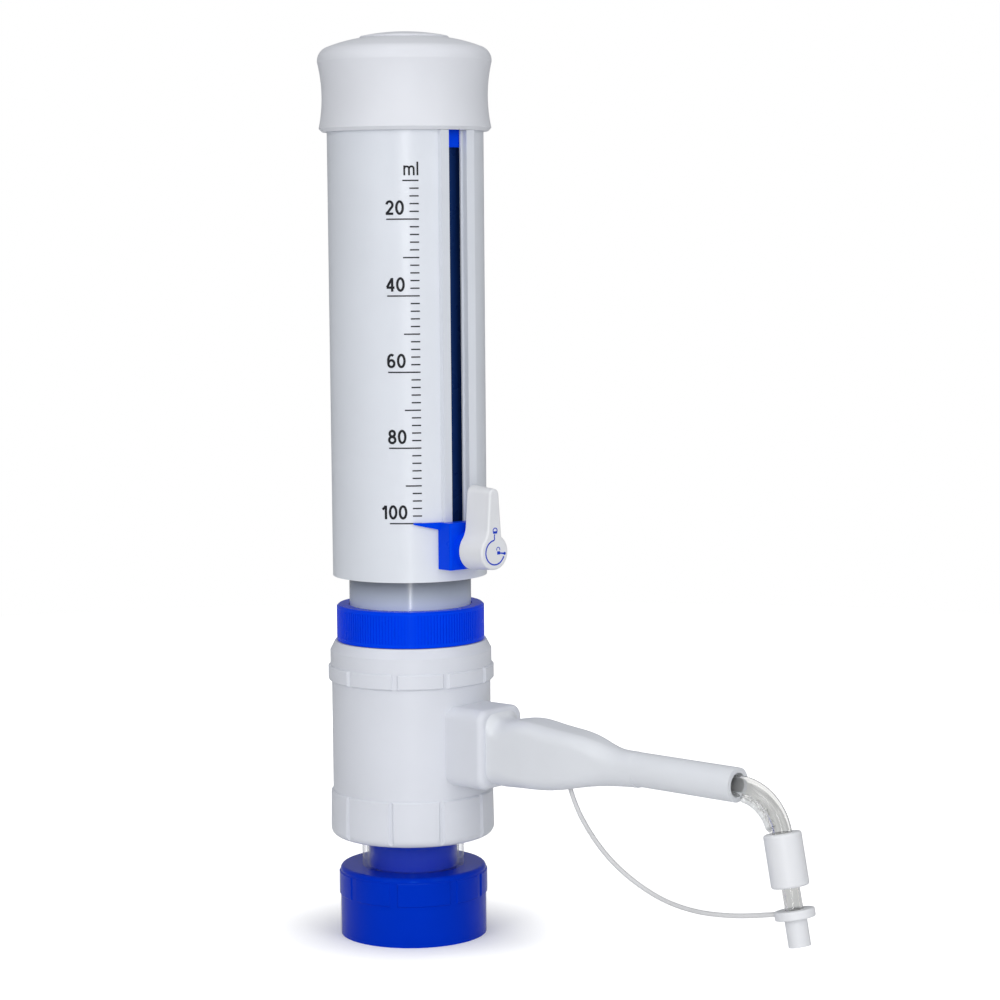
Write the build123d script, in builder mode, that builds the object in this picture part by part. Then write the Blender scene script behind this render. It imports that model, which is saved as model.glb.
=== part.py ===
from build123d import *
from math import asin, cos, degrees, pi, radians, sin, sqrt, tan
import os

# Bottle-top dispenser, 100 ml, in millimetres.
# The origin is the centre of the bottle nut's open face, +Z runs up the barrel
# and the discharge arm points along +X.

os.makedirs("parts", exist_ok=True)

# Clearances
slip = 0.1
running = 0.06
skim = 0.3
ball_gap = 0.03
slider_gap = 0.15
tongue_gap = 0.25
hook_gap = 0.2

# Bottle nut and its neck
nut_radius = 26.9
nut_height = 25.6
nut_edge = 1.5
nut_pad_rise = 0.45
nut_pad_low = 15.1
nut_pad_top_margin = 1.9
nut_gap_width = 3.4
nut_pad_edge = 0.3
nut_gap_angles = (-143, -101.8, -63.5, -15.8, 14.5, 52, 92, 132, 173)
thread_radius = 22.5
thread_depth = 20.4
thread_length = 16.9
gasket_recess = 0.7
gasket_thickness = 2.2
neck_radius = 16.3
neck_height = 10.5
washer_thickness = 1.0
neck_sleeve_wall = 1.8
neck_sleeve_gap = 0.7

# Valve housing
housing_radius = 29.1
housing_bottom_gap = 0.1
housing_wall = 2.7
housing_floor = 4.0
housing_height = 66.8
housing_shoulder = 9.2
grip_height = 16.9
grip_rise_top = 0.74
grip_rise_bottom = 1.0
grip_gap_width = 2.6
grip_edge = 0.5
grip_gap_angle = -63.6
grip_count = 10
housing_edge = 3.0
housing_step = 1.2

# Ring that closes the housing
ring_band_rise = 0.45
ring_pad_rise = 0.8
ring_pad_height = 5.6
ring_band_height = 5.4
ring_cone_height = 3.5
ring_cone_inset = 1.85
ring_gap_width = 2.8
ring_edge = 0.5
ring_gap_angle = -59.5
ring_lip = 5.0

# Knurled union ring
union_height = 13.0
union_wall = 2.7
union_gap = 0.2
union_lip = 3.7
union_chamfer = 0.7
knurl_count = 144
knurl_depth = 0.3
knurl_width = 0.45
knurl_low = 1.3
knurl_height = 10.4

# Valve block inside the housing
spigot_radius = 12.0
spigot_drop = 3.4
column_radius = 14.0
block_cup_wall = 2.05
block_cup_height = 14.0
block_cup_floor = 12.0
block_flange_gap = 0.2
block_flange_height = 6.0
channel_radius = 2.2
clip_radius = 14.4
clip_thickness = 2.1
clip_depth = 0.95

# Suction valve
socket_radius = 4.0
socket_depth = 12.0
suction_body_radius = 6.9
suction_body_length = 22.0
suction_seat_radius = 2.0
suction_seat_height = 4.0
suction_chamber_radius = 3.8
suction_cage_height = 3.3
suction_ball_radius = 3.0

# Boss and discharge valve
boss_width = 23.6
boss_height = 28.9
boss_corner = 4.5
boss_edge = 2.2
boss_end = 43.3
boss_z = 73.75
discharge_body_radius = 7.5
discharge_body_start = 10.0
discharge_chamber_x = 33.0
discharge_chamber_radius = 3.4
discharge_chamber_top = 5.4
discharge_seat_drop = 2.1
discharge_seat_height = 4.6
discharge_seat_bore = 1.5
discharge_ball_radius = 2.4
passage_radius = 1.4
inlet_drop = 4.8
nipple_length = 11.0

# Discharge arm
arm_droop = 0.5
arm_root_z = 73.8
arm_width = 18.0
arm_height = 25.1
arm_level = 74.15
arm_corner = 5.0
arm_tube_start = 99.5
arm_crease = 105.5
arm_tube_end = 146.9
arm_tube_radius = 6.0
arm_mouth_radius = 4.2
arm_mouth_depth = 26.0

# Discharge tube, tip and nozzle cap
tube_radius = 3.4
tube_wall = 0.85
tube_seat_gap = 0.6
bend_radius = 17.5
tip_lean = 11.2
tip_corner_x = 161.9
collar_start = 14.0
collar_length = 18.1
collar_radius = 6.45
collar_edge = 0.9
tube_overlap = 8.5
tip_radius = 3.1
tip_wall = 0.9
tip_end = 48.6
cap_start = 39.7
cap_flange_radius = 6.85
cap_flange_thickness = 3.0
cap_flange_edge = 0.5
cap_stem_radius = 3.8
cap_length = 12.4
cap_socket = 9.9

# Cap tether
tether_radius = 0.85
tether_hole_depth = 1.6

# Glass barrel and its jacket
barrel_wall = 2.9
barrel_gap = 0.3
jacket_inset = 6.85
jacket_wall = 3.65
barrel_gasket_thickness = 1.2
stop_ring_overhang = 1.95
stop_ring_height = 7.0
rail_width = 10.6
rail_bottom = 141.0
hook_drop = 0.34
hook_width = 7.2

# Scale sleeve
sleeve_wall = 2.4
sleeve_gap = 1.54
sleeve_start = 133.45
sleeve_length = 185.65
slot_azimuth = -8.4
slot_half_width = 4.1
slot_lip = 0.75
slot_lip_depth = 0.8
slot_start = 4.4
track_width = 3.5
track_height = 0.8
track_depth = 2.35

# Top cap
cap_brow = 3.11
cap_waist = 1.66
cap_waist_drop = 14.6
cap_rim = 2.86
cap_skirt = 25.9
cap_crown = 7.2
cap_shoulder_inset = 0.74
cap_shoulder_rise = 4.2
cap_band_inset = 6.34
cap_band_rise = 6.0
cap_disc_radius = 16.0
cap_disc_rise = 0.7
cap_disc_recess = 1.0
cap_disc_dome = 1.6
cap_disc_edge = 0.4
cap_edge = 1.2

# Piston
piston_wall = 3.0
piston_foot = 6.0
piston_lift_off = 0.8
piston_seal_depth = 0.9
piston_seal_height = 2.0
piston_plug_height = 16.0
screw_radius = 3.0
screw_head_radius = 5.5
screw_head_height = 3.0
screw_length = 18.0

# Volume slider and clamp lever
slider_top = 154.9
slider_height = 16.8
slider_half_width = 9.0
slider_depth = 5.26
slider_boss_radius = 7.0
slider_boss_height = 2.2
slider_edge = 0.7
tongue_drop = 2.2
pointer_height = 2.6
pointer_tip_height = 0.5
pointer_tip_azimuth = -45.3
pointer_thickness = 1.0
clamp_plate_thickness = 0.95
clamp_plate_half_width = 6.9
clamp_screw_radius = 2.0
lever_drop = 9.9
lever_hub_radius = 7.0
lever_length = 23.3
lever_tip_radius = 2.9
lever_neck_radius = 4.5
lever_blend = 8.0
lever_thickness = 11.2
lever_draft = 4.0
lever_edge = 0.8
stroke = 134.2

# Radii that follow from the sizes above, from the housing inwards and out to the cap
ring_band_radius = housing_radius + ring_band_rise
ring_cone_radius = ring_band_radius - ring_cone_inset
block_flange_radius = housing_radius - housing_wall - block_flange_gap
jacket_radius = housing_radius - jacket_inset
barrel_bore = jacket_radius - jacket_wall - barrel_gap - barrel_wall
block_cup_radius = jacket_radius + block_cup_wall
union_radius = block_cup_radius + union_wall
stop_ring_radius = jacket_radius + stop_ring_overhang
sleeve_bore = stop_ring_radius + sleeve_gap
sleeve_radius = sleeve_bore + sleeve_wall
hook_reach = sleeve_bore + slip - hook_drop
slot_lip_width = slot_half_width - slot_lip
slider_reach = sleeve_radius + slider_depth
cap_radius = sleeve_radius + cap_brow
cap_waist_radius = sleeve_radius + cap_waist
cap_rim_radius = sleeve_radius + cap_rim
cap_shoulder_radius = sleeve_radius - cap_shoulder_inset

# Levels that follow from the sizes above
neck_top = nut_height + neck_height
housing_bottom = neck_top + washer_thickness + housing_bottom_gap
housing_top = housing_bottom + housing_height
ring_bottom = housing_top - housing_shoulder + slip
ring_top = ring_bottom + ring_pad_height + ring_band_height + ring_cone_height
column_bottom = housing_bottom + housing_floor
barrel_seat = ring_top - ring_lip
union_bottom = ring_top + union_gap
union_top = union_bottom + union_height
sleeve_top = sleeve_start + sleeve_length
cap_bottom = sleeve_top - cap_skirt
cap_top = sleeve_top + cap_crown
hook_low = slider_top - tongue_drop + stroke + hook_gap
jacket_top = hook_low
jacket_length = jacket_top - barrel_seat
slider_bottom = slider_top - slider_height
lever_z = slider_top - lever_drop
clip_top = thread_depth - clip_depth + 0.5
tip_slope = radians(tip_lean)


def slot_face(rho, height):
    """Plane that faces outwards through the slot, at a distance from the axis."""
    turn = radians(slot_azimuth)
    return Plane(
        origin=(rho * cos(turn), rho * sin(turn), height),
        x_dir=(-sin(turn), cos(turn), 0),
        z_dir=(cos(turn), sin(turn), 0),
    )


def slot_plan(height):
    """Horizontal plane whose x axis runs out through the slot."""
    return Plane.XY.offset(height).rotated((0, 0, slot_azimuth))


def arm_z(x):
    """Height of the drooping arm's bore line at a distance along the arm."""
    return arm_root_z - (x - boss_end) * tan(radians(arm_droop))


def arm_plane(x):
    """Plane across the arm's bore line."""
    return Plane(
        origin=(x, 0, arm_z(x)),
        x_dir=(0, 1, 0),
        z_dir=(cos(radians(arm_droop)), 0, -sin(radians(arm_droop))),
    )


def tip_point(along):
    """Point on the axis of the tip, measured down from the tube's corner."""
    corner_z = arm_z(tip_corner_x)
    return (tip_corner_x + along * sin(tip_slope), 0, corner_z - along * cos(tip_slope))


def tip_plane(along):
    """Plane across the tip's axis, facing down towards the nozzle cap."""
    return Plane(
        origin=tip_point(along),
        x_dir=(0, 1, 0),
        z_dir=(sin(tip_slope), 0, -cos(tip_slope)),
    )


def corner_radii(points):
    """Largest even radius that the two runs beside each corner allow."""
    radii = []
    for before, corner, after in zip(points, points[1:], points[2:]):
        arrive = Vector(*corner) - Vector(*before)
        leave = Vector(*after) - Vector(*corner)
        half_turn = radians(arrive.get_angle(leave) / 2)
        radii.append(0.45 * min(arrive.length, leave.length) / tan(half_turn))
    return radii


# Bottle nut with the neck that the housing turns on
with BuildPart() as bottle_nut:
    with BuildSketch():
        Circle(nut_radius)
    extrude(amount=nut_height)
    fillet(bottle_nut.edges().group_by(Axis.Z)[-1], nut_edge)
    with BuildSketch(Plane.XZ):
        with BuildLine():
            pad_radius = nut_radius + nut_pad_rise
            pad_high = nut_height - nut_pad_top_margin
            Polyline(
                (nut_radius - nut_edge, nut_pad_low),
                (pad_radius - nut_pad_edge, nut_pad_low),
                (pad_radius, nut_pad_low + nut_pad_edge),
                (pad_radius, pad_high - nut_pad_edge),
                (nut_radius - nut_pad_edge, pad_high + nut_pad_rise),
                (nut_radius - nut_edge, pad_high),
                close=True,
            )
        make_face()
    revolve(axis=Axis.Z)
    with BuildSketch(Plane.XY.offset(nut_pad_low)):
        for gap_angle in nut_gap_angles:
            with PolarLocations(nut_radius + nut_pad_rise, 1, gap_angle):
                Trapezoid(nut_gap_width + 2 * nut_pad_rise, 2 * nut_pad_rise, 45, rotation=90)
    extrude(amount=nut_height - nut_pad_top_margin - nut_pad_low, mode=Mode.SUBTRACT)
    with BuildSketch(Plane.XY.offset(nut_height)):
        Circle(neck_radius)
    extrude(amount=neck_height)
    with BuildSketch():
        Circle(thread_radius)
    extrude(amount=thread_length, mode=Mode.SUBTRACT)
    with BuildSketch(Plane.XY.offset(thread_length)):
        Circle(thread_radius + gasket_recess)
    extrude(amount=thread_depth - thread_length, mode=Mode.SUBTRACT)
    with BuildSketch():
        Circle(spigot_radius + running)
    extrude(amount=neck_top, mode=Mode.SUBTRACT)
bottle_nut.part.label = "bottle_nut"
export_step(bottle_nut.part, "parts/bottle_nut.step")

# Flat gasket that the bottle's rim presses on
with BuildPart() as bottle_gasket:
    with BuildSketch(Plane.XY.offset(thread_depth - gasket_thickness)):
        Circle(thread_radius + gasket_recess - slip)
        Circle(clip_radius + 2 * skim, mode=Mode.SUBTRACT)
    extrude(amount=gasket_thickness)
bottle_gasket.part.label = "bottle_gasket"
export_step(bottle_gasket.part, "parts/bottle_gasket.step")

# Clear sleeve round the neck
with BuildPart() as neck_sleeve:
    with BuildSketch(Plane.XY.offset(nut_height)):
        Circle(neck_radius + neck_sleeve_gap + neck_sleeve_wall)
        Circle(neck_radius + neck_sleeve_gap, mode=Mode.SUBTRACT)
    extrude(amount=neck_height + washer_thickness - slip)
neck_sleeve.part.label = "neck_sleeve"
export_step(neck_sleeve.part, "parts/neck_sleeve.step")

# Slip washer between neck and housing
with BuildPart() as swivel_washer:
    with BuildSketch(Plane.XY.offset(neck_top)):
        Circle(neck_radius - skim)
        Circle(spigot_radius + skim, mode=Mode.SUBTRACT)
    extrude(amount=washer_thickness)
swivel_washer.part.label = "swivel_washer"
export_step(swivel_washer.part, "parts/swivel_washer.step")

# Valve housing: a moulded shell with a gripping band and the boss for the arm
with BuildPart() as housing:
    with BuildSketch(Plane.XZ):
        with BuildLine():
            Polyline(
                (0, housing_bottom),
                (housing_radius + grip_rise_bottom, housing_bottom),
                (housing_radius + grip_rise_top, housing_bottom + grip_height - grip_edge),
                (housing_radius + grip_rise_top - grip_edge, housing_bottom + grip_height),
                (housing_radius, housing_bottom + grip_height),
                (housing_radius, housing_top - housing_shoulder),
                (housing_radius - housing_step, housing_top - housing_shoulder),
                (housing_radius - housing_step, housing_top),
                (0, housing_top),
                close=True,
            )
        make_face()
    revolve(axis=Axis.Z)
    fillet(housing.edges().group_by(Axis.Z)[0], housing_edge)
    with BuildSketch(Plane.XY.offset(housing_bottom)):
        with PolarLocations(housing_radius + grip_rise_bottom, grip_count, grip_gap_angle):
            Trapezoid(grip_gap_width + 2 * grip_rise_bottom, 2 * grip_rise_bottom, 45, rotation=90)
    extrude(amount=grip_height, mode=Mode.SUBTRACT)
    with BuildSketch(Plane.YZ.offset(column_radius)):
        with Locations((0, boss_z)):
            RectangleRounded(boss_width, boss_height, boss_corner)
    extrude(amount=boss_end - column_radius)
    fillet(housing.faces().sort_by(Axis.X)[-1].edges(), boss_edge)
    with BuildSketch(Plane.XY.offset(column_bottom)):
        Circle(housing_radius - housing_wall)
    extrude(amount=housing_top - column_bottom, mode=Mode.SUBTRACT)
    with BuildSketch(Plane.XY.offset(housing_bottom)):
        Circle(spigot_radius + slip)
    extrude(amount=housing_floor, mode=Mode.SUBTRACT)
    with BuildSketch(Plane.YZ.offset(column_radius)):
        with Locations((0, arm_root_z)):
            Circle(discharge_body_radius + slip)
    extrude(amount=boss_end - column_radius, mode=Mode.SUBTRACT)
housing.part.label = "housing"
export_step(housing.part, "parts/housing.step")

# Screwed ring that closes the top of the housing
with BuildPart() as housing_ring:
    with BuildSketch(Plane.XZ):
        with BuildLine():
            band_low = ring_bottom + ring_pad_height
            band_top = band_low + ring_band_height
            Polyline(
                (housing_radius - housing_step + slip, ring_bottom),
                (ring_band_radius + ring_pad_rise - ring_edge, ring_bottom),
                (ring_band_radius + ring_pad_rise, ring_bottom + ring_edge),
                (ring_band_radius + ring_pad_rise, band_low - ring_edge),
                (ring_band_radius + ring_pad_rise - ring_edge, band_low),
                (ring_band_radius, band_low),
                (ring_band_radius, band_top),
                (ring_cone_radius, ring_top),
                (block_cup_radius + skim, ring_top),
                (block_cup_radius + skim, barrel_seat),
                (housing_radius - housing_step + slip, barrel_seat),
                close=True,
            )
        make_face()
    revolve(axis=Axis.Z)
    with BuildSketch(Plane.XY.offset(ring_bottom)):
        with PolarLocations(ring_band_radius + ring_pad_rise, grip_count, ring_gap_angle):
            Trapezoid(ring_gap_width + 2 * ring_pad_rise, 2 * ring_pad_rise, 45, rotation=90)
    extrude(amount=ring_pad_height, mode=Mode.SUBTRACT)
housing_ring.part.label = "housing_ring"
export_step(housing_ring.part, "parts/housing_ring.step")

# Valve block: spigot, column and the cup that the barrel stands in
with BuildPart() as valve_block:
    with BuildSketch(Plane.XZ):
        with BuildLine():
            cup_top = barrel_seat + block_cup_height
            Polyline(
                (0, thread_depth - spigot_drop),
                (spigot_radius, thread_depth - spigot_drop),
                (spigot_radius, clip_top - clip_thickness),
                (spigot_radius - clip_depth, clip_top - clip_thickness),
                (spigot_radius - clip_depth, clip_top),
                (spigot_radius, clip_top),
                (spigot_radius, column_bottom),
                (column_radius, column_bottom),
                (column_radius, barrel_seat - block_cup_floor),
                (block_cup_radius, barrel_seat - block_cup_floor),
                (block_cup_radius, barrel_seat - block_flange_height),
                (block_flange_radius, barrel_seat - block_flange_height),
                (block_flange_radius, barrel_seat),
                (block_cup_radius, barrel_seat),
                (block_cup_radius, cup_top),
                (jacket_radius + slip, cup_top),
                (jacket_radius + slip, barrel_seat),
                (0, barrel_seat),
                close=True,
            )
        make_face()
    revolve(axis=Axis.Z)
    with BuildSketch(Plane.XY.offset(thread_depth - spigot_drop)):
        Circle(suction_body_radius + slip)
    suction_top = thread_depth - spigot_drop + suction_body_length
    extrude(amount=suction_top + slip - (thread_depth - spigot_drop), mode=Mode.SUBTRACT)
    with BuildSketch(Plane.XY.offset(suction_top)):
        Circle(suction_chamber_radius)
    extrude(amount=suction_cage_height, mode=Mode.SUBTRACT)
    with BuildSketch(Plane.XY.offset(suction_top)):
        Circle(channel_radius)
    extrude(amount=barrel_seat - suction_top, mode=Mode.SUBTRACT)
    with BuildSketch(Plane.YZ.offset(discharge_body_start)):
        with Locations((0, arm_root_z)):
            Circle(discharge_body_radius + slip)
    extrude(amount=column_radius, mode=Mode.SUBTRACT)
    with BuildSketch(Plane.YZ):
        with Locations((0, arm_root_z - inlet_drop)):
            Circle(passage_radius)
    extrude(amount=column_radius, mode=Mode.SUBTRACT)
valve_block.part.label = "valve_block"
export_step(valve_block.part, "parts/valve_block.step")

# Snap ring that keeps the nut on the spigot
with BuildPart() as snap_ring:
    with BuildSketch(Plane.XY.offset(clip_top - clip_thickness)):
        Circle(clip_radius)
        Circle(spigot_radius - clip_depth + running, mode=Mode.SUBTRACT)
        with Locations((-clip_radius, 0)):
            Rectangle(clip_radius, clip_depth * 4, mode=Mode.SUBTRACT)
    extrude(amount=clip_thickness)
snap_ring.part.label = "snap_ring"
export_step(snap_ring.part, "parts/snap_ring.step")

# Suction valve body with the socket for the dip tube
suction_bottom = suction_top - suction_body_length
with BuildPart() as suction_valve_body:
    with BuildSketch(Plane.XY.offset(suction_bottom)):
        Circle(suction_body_radius)
    extrude(amount=suction_body_length)
    with BuildSketch(Plane.XY.offset(suction_bottom)):
        Circle(socket_radius)
    extrude(amount=socket_depth, mode=Mode.SUBTRACT)
    with BuildSketch(Plane.XY.offset(suction_bottom + socket_depth)):
        Circle(suction_seat_radius)
    extrude(amount=suction_seat_height, mode=Mode.SUBTRACT)
    suction_seat = suction_bottom + socket_depth + suction_seat_height
    with BuildSketch(Plane.XY.offset(suction_seat)):
        Circle(suction_chamber_radius)
    extrude(amount=suction_top - suction_seat, mode=Mode.SUBTRACT)
suction_valve_body.part.label = "suction_valve_body"
export_step(suction_valve_body.part, "parts/suction_valve_body.step")

# Suction ball, resting on its seat
suction_rest = sqrt(suction_ball_radius**2 - suction_seat_radius**2) + ball_gap
with BuildPart() as suction_ball:
    with Locations((0, 0, suction_seat + suction_rest)):
        Sphere(suction_ball_radius)
suction_ball.part.label = "suction_ball"
export_step(suction_ball.part, "parts/suction_ball.step")

# Discharge valve body, pushed through the boss into the column
with BuildPart() as discharge_valve_body:
    with BuildSketch(Plane.YZ.offset(discharge_body_start)):
        with Locations((0, arm_root_z)):
            Circle(discharge_body_radius)
    extrude(amount=boss_end - discharge_body_start)
    with BuildSketch(arm_plane(boss_end - 1)):
        Circle(tube_radius - tube_wall - slip)
    extrude(amount=nipple_length)
    with BuildSketch(Plane.XY.offset(arm_root_z - discharge_body_radius)):
        with Locations((discharge_chamber_x, 0)):
            Circle(discharge_chamber_radius)
    extrude(amount=discharge_body_radius + discharge_chamber_top, mode=Mode.SUBTRACT)
    with BuildSketch(Plane.YZ.offset(discharge_body_start)):
        with Locations((0, arm_root_z - inlet_drop)):
            Circle(passage_radius)
    extrude(amount=discharge_chamber_x - discharge_body_start, mode=Mode.SUBTRACT)
    with BuildSketch(arm_plane(discharge_chamber_x)):
        Circle(passage_radius)
    extrude(amount=boss_end - discharge_chamber_x + nipple_length + 1, mode=Mode.SUBTRACT)
discharge_valve_body.part.label = "discharge_valve_body"
export_step(discharge_valve_body.part, "parts/discharge_valve_body.step")

# Discharge seat, pressed into the valve body from below
discharge_seat_top = arm_root_z - discharge_seat_drop
with BuildPart() as discharge_seat:
    with BuildSketch(Plane.XY.offset(discharge_seat_top - discharge_seat_height)):
        with Locations((discharge_chamber_x, 0)):
            Circle(discharge_chamber_radius - running)
    extrude(amount=discharge_seat_height)
    with BuildSketch(Plane.XY.offset(discharge_seat_top)):
        with Locations((discharge_chamber_x, 0)):
            Circle(discharge_seat_bore)
    extrude(amount=-(inlet_drop - discharge_seat_drop), mode=Mode.SUBTRACT)
    with BuildSketch(Plane.YZ.offset(discharge_chamber_x - discharge_chamber_radius)):
        with Locations((0, arm_root_z - inlet_drop)):
            Circle(passage_radius)
    extrude(amount=discharge_chamber_radius, mode=Mode.SUBTRACT)
discharge_seat.part.label = "discharge_seat"
export_step(discharge_seat.part, "parts/discharge_seat.step")

# Discharge ball, resting on its seat
discharge_rest = sqrt(discharge_ball_radius**2 - discharge_seat_bore**2) + ball_gap
with BuildPart() as discharge_ball:
    with Locations((discharge_chamber_x, 0, discharge_seat_top + discharge_rest)):
        Sphere(discharge_ball_radius)
discharge_ball.part.label = "discharge_ball"
export_step(discharge_ball.part, "parts/discharge_ball.step")

# Discharge arm: a deep rounded root that draws down to a round tube
arm_tube_width = 2 * arm_tube_radius
arm_round = arm_tube_radius - 0.2
arm_sections = (
    (boss_end, arm_width, arm_height, arm_level, arm_corner),
    (boss_end + 13.7, arm_width, arm_height - 0.8, arm_level - 0.7, arm_corner),
    (boss_end + 24.2, arm_width - 0.2, arm_height - 2.2, arm_level - 0.9, arm_corner),
    (boss_end + 31.7, arm_width - 1.0, arm_height - 4.1, arm_level - 0.75, arm_corner),
    (boss_end + 39.7, arm_width - 2.4, arm_height - 6.8, arm_level - 0.4, arm_corner),
    (arm_tube_start - 8.5, arm_tube_width + 1.8, arm_tube_width + 3.1, arm_level - 0.8, arm_round),
    (arm_tube_start, arm_tube_width + 0.2, arm_tube_width + 0.8, arm_level - 1.2, arm_round),
    (arm_crease, arm_tube_width - 0.1, arm_tube_width + 0.3, arm_level - 1.17, arm_round),
)
with BuildPart() as discharge_arm:
    for x, width, height, level, corner in arm_sections:
        with BuildSketch(Plane.YZ.offset(x)):
            with Locations((0, level)):
                RectangleRounded(width, height, corner)
    loft()
    with BuildSketch(arm_plane(arm_tube_start - 0.2)):
        Circle(arm_tube_radius)
    extrude(amount=arm_tube_end - arm_tube_start)
    with BuildSketch(arm_plane(boss_end - 1)):
        Circle(tube_radius + 2 * slip)
    extrude(amount=arm_tube_end - boss_end + 2, mode=Mode.SUBTRACT)
    with BuildSketch(arm_plane(arm_tube_end - arm_mouth_depth)):
        Circle(arm_mouth_radius)
    extrude(amount=arm_mouth_depth + 1, mode=Mode.SUBTRACT)

# Route of the cap tether, from the arm's underside to the cap's flange
tether_route = (
    (74.3, 0, 63.7),
    (76.7, 0, 57.2),
    (83.0, 0, 48.3),
    (91.5, 0, 40.1),
    (102.3, 0, 33.5),
    (115.3, 0, 28.5),
    (129.3, 0, 26.6),
    (143.7, 0, 27.5),
    (154.9, 0, 29.4),
    (162.8, 0, 31.1),
)
tether_radii = corner_radii(tether_route)
tether_out = Vector(*tether_route[1]) - Vector(*tether_route[0])
tether_exit = Plane(origin=tether_route[0], x_dir=(0, 1, 0), z_dir=tether_out)
with BuildPart(mode=Mode.PRIVATE) as tether_hole:
    with BuildSketch(tether_exit):
        Circle(tether_radius + slip)
    extrude(amount=3 * tether_hole_depth)
discharge_arm.part = discharge_arm.part - tether_hole.part
discharge_arm.part.label = "discharge_arm"
export_step(discharge_arm.part, "parts/discharge_arm.step")

# Clear discharge tube, bent down out of the arm
with BuildPart() as discharge_tube:
    with BuildLine() as tube_path:
        FilletPolyline(
            (boss_end + tube_seat_gap, 0, arm_z(boss_end + tube_seat_gap)),
            tip_point(0),
            tip_point(collar_start + tube_overlap),
            radius=bend_radius,
        )
    with BuildSketch(arm_plane(boss_end + tube_seat_gap)):
        Circle(tube_radius)
        Circle(tube_radius - tube_wall, mode=Mode.SUBTRACT)
    sweep(path=tube_path.line)
discharge_tube.part.label = "discharge_tube"
export_step(discharge_tube.part, "parts/discharge_tube.step")

# Thin tip tube, butted against the discharge tube inside the collar
tip_start = collar_start + tube_overlap + slip
with BuildPart() as tip_tube:
    with BuildSketch(tip_plane(tip_start)):
        Circle(tip_radius)
        Circle(tip_radius - tip_wall, mode=Mode.SUBTRACT)
    extrude(amount=tip_end - tip_start)
tip_tube.part.label = "tip_tube"
export_step(tip_tube.part, "parts/tip_tube.step")

# Collar over the joint between the two tubes
with BuildPart() as tip_collar:
    with BuildSketch(tip_plane(collar_start)):
        Circle(collar_radius)
    extrude(amount=collar_length)
    fillet(tip_collar.edges(), collar_edge)
    with BuildSketch(tip_plane(collar_start)):
        Circle(tube_radius + running)
    extrude(amount=tube_overlap, mode=Mode.SUBTRACT)
    with BuildSketch(tip_plane(collar_start)):
        Circle(tip_radius + running)
    extrude(amount=collar_length, mode=Mode.SUBTRACT)
tip_collar.part.label = "tip_collar"
export_step(tip_collar.part, "parts/tip_collar.step")

# Nozzle cap on the tip
with BuildPart() as nozzle_cap:
    with BuildSketch(tip_plane(cap_start)):
        Circle(cap_flange_radius)
    extrude(amount=cap_flange_thickness)
    fillet(nozzle_cap.edges(), cap_flange_edge)
    with BuildSketch(tip_plane(cap_start)):
        Circle(cap_stem_radius)
    extrude(amount=cap_length)
    with BuildSketch(tip_plane(cap_start)):
        Circle(tip_radius + running)
    extrude(amount=cap_socket, mode=Mode.SUBTRACT)
nozzle_cap.part.label = "nozzle_cap"
export_step(nozzle_cap.part, "parts/nozzle_cap.step")

# Cap tether, a limp plastic cord
with BuildPart() as cap_tether:
    with BuildLine() as tether_path:
        FilletPolyline(*tether_route, radius=tether_radii)
    with BuildSketch(tether_exit):
        Circle(tether_radius)
    sweep(path=tether_path.line)
cap_tether.part.label = "cap_tether"
export_step(cap_tether.part, "parts/cap_tether.step")
tether_length = tether_path.wire().length
tether_volume = pi * tether_radius**2 * tether_length
print("tether radii", [round(radius, 1) for radius in tether_radii])
print("tether length", round(tether_length, 1))
print("tether volume", round(cap_tether.part.volume, 2), "expected", round(tether_volume, 2))

# Gasket under the glass barrel
with BuildPart() as barrel_gasket:
    with BuildSketch(Plane.XY.offset(barrel_seat)):
        Circle(barrel_bore + barrel_wall)
        Circle(barrel_bore - 1, mode=Mode.SUBTRACT)
    extrude(amount=barrel_gasket_thickness)
barrel_gasket.part.label = "barrel_gasket"
export_step(barrel_gasket.part, "parts/barrel_gasket.step")

# Glass barrel that the piston runs in
with BuildPart() as glass_barrel:
    with BuildSketch(Plane.XY.offset(barrel_seat + barrel_gasket_thickness)):
        Circle(barrel_bore + barrel_wall)
        Circle(barrel_bore, mode=Mode.SUBTRACT)
    extrude(amount=jacket_length - barrel_gasket_thickness)
glass_barrel.part.label = "glass_barrel"
export_step(glass_barrel.part, "parts/glass_barrel.step")

# Clear jacket round the barrel
with BuildPart() as barrel_jacket:
    with BuildSketch(Plane.XY.offset(barrel_seat)):
        Circle(jacket_radius)
        Circle(jacket_radius - jacket_wall, mode=Mode.SUBTRACT)
    extrude(amount=jacket_length)
barrel_jacket.part.label = "barrel_jacket"
export_step(barrel_jacket.part, "parts/barrel_jacket.step")

# Knurled union ring that holds barrel and jacket on the block
with BuildPart() as union_ring:
    with BuildSketch(Plane.XY.offset(union_bottom)):
        Circle(union_radius)
    extrude(amount=union_height)
    chamfer(union_ring.edges().group_by(Axis.Z)[-1], union_chamfer)
    with BuildSketch(Plane.XY.offset(union_bottom + knurl_low)):
        with PolarLocations(union_radius, knurl_count):
            Rectangle(2 * knurl_depth, knurl_width)
    extrude(amount=knurl_height, mode=Mode.SUBTRACT)
    with BuildSketch(Plane.XY.offset(union_bottom)):
        Circle(block_cup_radius + slip)
    extrude(amount=union_height - union_lip, mode=Mode.SUBTRACT)
    with BuildSketch(Plane.XY.offset(union_bottom)):
        Circle(jacket_radius + skim)
    extrude(amount=union_height, mode=Mode.SUBTRACT)
union_ring.part.label = "union_ring"
export_step(union_ring.part, "parts/union_ring.step")

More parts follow.
